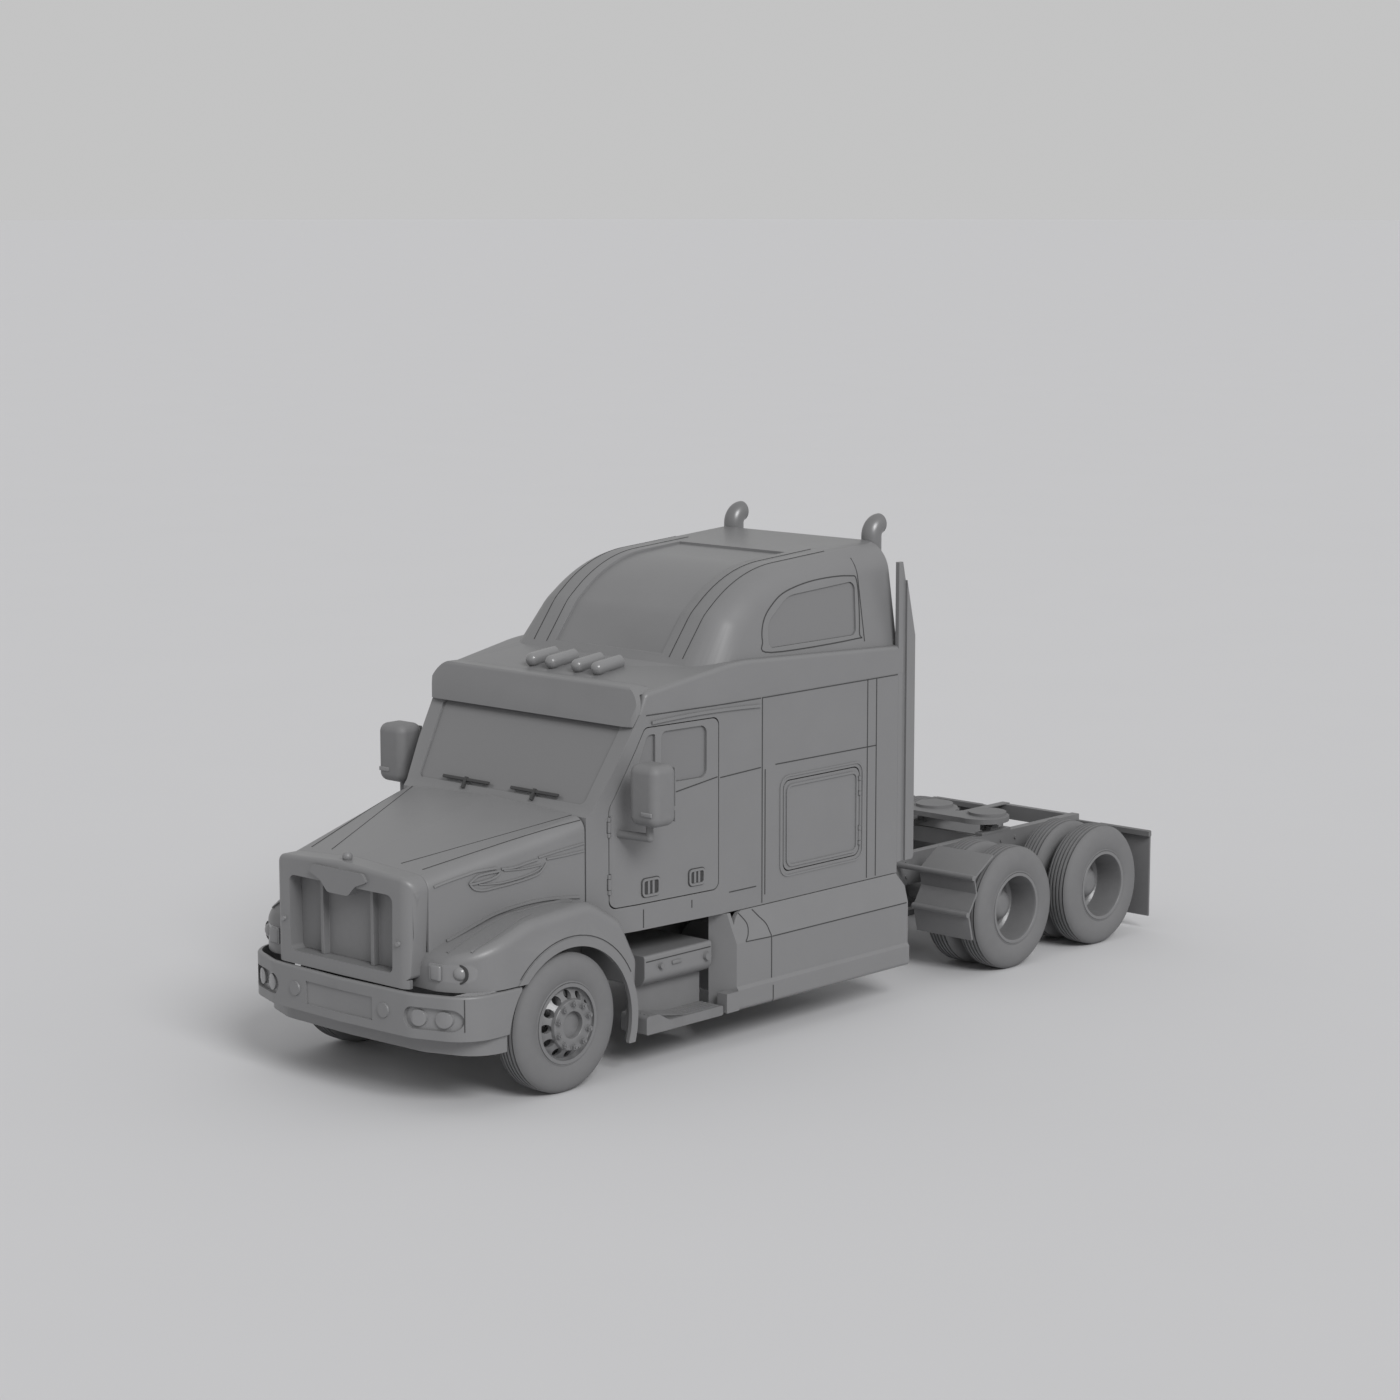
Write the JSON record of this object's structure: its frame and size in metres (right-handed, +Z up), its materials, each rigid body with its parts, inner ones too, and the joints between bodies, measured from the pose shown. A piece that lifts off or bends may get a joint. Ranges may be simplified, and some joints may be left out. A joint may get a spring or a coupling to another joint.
{
  "type": "sleeper tractor unit",
  "caption": "Conventional road tractor with a tilting bonnet, high-roof sleeper cab, steered front axle, twin-tyred drive axles and a tilting fifth wheel.",
  "frame": {"origin": "bottom centre of the bounding box, on the ground between the axles", "axes": "+Y rearwards along the vehicle (the front faces -Y), +X towards the vehicle's left side, +Z up"},
  "size_m": [3, 8.43, 3.8998],
  "materials": {
    "body_paint": "satin monochrome grey",
    "frame_steel": "satin grey chassis paint",
    "axle_cast": "painted casting",
    "wheel_metal": "satin grey",
    "tyre": "matt grey rubber",
    "glazing": "grey tinted, nearly opaque",
    "lens": "smooth grey lens",
    "moulding": "fine grained grey moulding",
    "flap_rubber": "matt grey rubber",
    "upholstery": "woven grey",
    "stack_steel": "satin grey"
  },
  "bodies": {
    "chassis": {"frame": "frame_steel", "front_axle": "axle_cast", "suspension": "frame_steel", "drive_axles": "axle_cast", "engine": "axle_cast", "bumper": "body_paint", "body_lamps": "lens", "cab_shell": "body_paint", "sleeper_shell": "body_paint", "roof_fairing": "body_paint", "sun_visor": "body_paint", "cab_glass": "glazing", "wipers": "moulding", "side_extenders": "body_paint", "exhaust_stacks": "stack_steel", "side_fairings": "body_paint", "fuel_tanks": "wheel_metal", "battery_boxes": "body_paint", "steps": "frame_steel", "quarter_fenders": "moulding", "mud_flaps": "flap_rubber", "fifth_wheel_saddle": "axle_cast", "dashboard": "moulding", "seats_and_bunk": "upholstery"},
    "bonnet": {"hood_shell": "body_paint", "fenders": "body_paint", "grille_shell": "body_paint", "grille_insert": "moulding", "head_lamps": "lens"},
    "coupling_plate": {"fifth_wheel": "axle_cast"},
    "door_left": {"door_left": "body_paint", "door_glass_left": "glazing", "mirror_left": "moulding"},
    "baggage_door_left": {"baggage_door_left": "body_paint"},
    "knuckle_left": {"knuckle_left": "axle_cast"},
    "wheel_front_left": {"tyre_front_left": "tyre", "wheel_front_left": "wheel_metal"},
    "wheels_drive_1_left": {"tyres_drive_1_left": "tyre", "wheels_drive_1_left": "wheel_metal"},
    "wheels_drive_2_left": {"tyres_drive_2_left": "tyre", "wheels_drive_2_left": "wheel_metal"},
    "door_right": {"door_right": "body_paint", "door_glass_right": "glazing", "mirror_right": "moulding"},
    "baggage_door_right": {"baggage_door_right": "body_paint"},
    "knuckle_right": {"knuckle_right": "axle_cast"},
    "wheel_front_right": {"tyre_front_right": "tyre", "wheel_front_right": "wheel_metal"},
    "wheels_drive_1_right": {"tyres_drive_1_right": "tyre", "wheels_drive_1_right": "wheel_metal"},
    "wheels_drive_2_right": {"tyres_drive_2_right": "tyre", "wheels_drive_2_right": "wheel_metal"}
  },
  "joints": [
    {"name": "bonnet_tilt", "type": "hinge", "parent": "chassis", "child": "bonnet", "pos_m": [0, -4.115, 0.93], "axis": [1, 0, 0], "range_deg": [0, 70]},
    {"name": "coupling_tilt", "type": "hinge", "parent": "chassis", "child": "coupling_plate", "pos_m": [0, 2.995, 1], "axis": [1, 0, 0], "range_deg": [-12, 12]},
    {"name": "door_left_hinge", "type": "hinge", "parent": "chassis", "child": "door_left", "pos_m": [1.041, -2.461, 1.9], "axis": [0, 0, -1], "range_deg": [0, 65]},
    {"name": "baggage_door_left_hinge", "type": "hinge", "parent": "chassis", "child": "baggage_door_left", "pos_m": [1.16, 0.261, 1.62], "axis": [0, 0, 1], "range_deg": [0, 80]},
    {"name": "steer_left", "type": "hinge", "parent": "chassis", "child": "knuckle_left", "pos_m": [0.93, -3.065, 0.52], "axis": [0, 0, 1], "range_deg": [-35, 35]},
    {"name": "wheel_front_left_spin", "type": "hinge", "parent": "knuckle_left", "child": "wheel_front_left", "pos_m": [1.0775, -3.065, 0.52], "axis": [1, 0, 0], "continuous": true},
    {"name": "wheels_drive_1_left_spin", "type": "hinge", "parent": "chassis", "child": "wheels_drive_1_left", "pos_m": [0.9425, 2.225, 0.52], "axis": [1, 0, 0], "continuous": true},
    {"name": "wheels_drive_2_left_spin", "type": "hinge", "parent": "chassis", "child": "wheels_drive_2_left", "pos_m": [0.9425, 3.455, 0.52], "axis": [1, 0, 0], "continuous": true},
    {"name": "door_right_hinge", "type": "hinge", "parent": "chassis", "child": "door_right", "pos_m": [-1.041, -2.461, 1.9], "axis": [0, 0, 1], "range_deg": [0, 65]},
    {"name": "baggage_door_right_hinge", "type": "hinge", "parent": "chassis", "child": "baggage_door_right", "pos_m": [-1.16, 0.261, 1.62], "axis": [0, 0, -1], "range_deg": [0, 80]},
    {"name": "steer_right", "type": "hinge", "parent": "chassis", "child": "knuckle_right", "pos_m": [-0.93, -3.065, 0.52], "axis": [0, 0, 1], "range_deg": [-35, 35]},
    {"name": "wheel_front_right_spin", "type": "hinge", "parent": "knuckle_right", "child": "wheel_front_right", "pos_m": [-1.0775, -3.065, 0.52], "axis": [1, 0, 0], "continuous": true},
    {"name": "wheels_drive_1_right_spin", "type": "hinge", "parent": "chassis", "child": "wheels_drive_1_right", "pos_m": [-0.9425, 2.225, 0.52], "axis": [1, 0, 0], "continuous": true},
    {"name": "wheels_drive_2_right_spin", "type": "hinge", "parent": "chassis", "child": "wheels_drive_2_right", "pos_m": [-0.9425, 3.455, 0.52], "axis": [1, 0, 0], "continuous": true}
  ],
  "couplings": [
    {"joint": "steer_right", "follows": "steer_left", "ratio": 1}
  ]
}
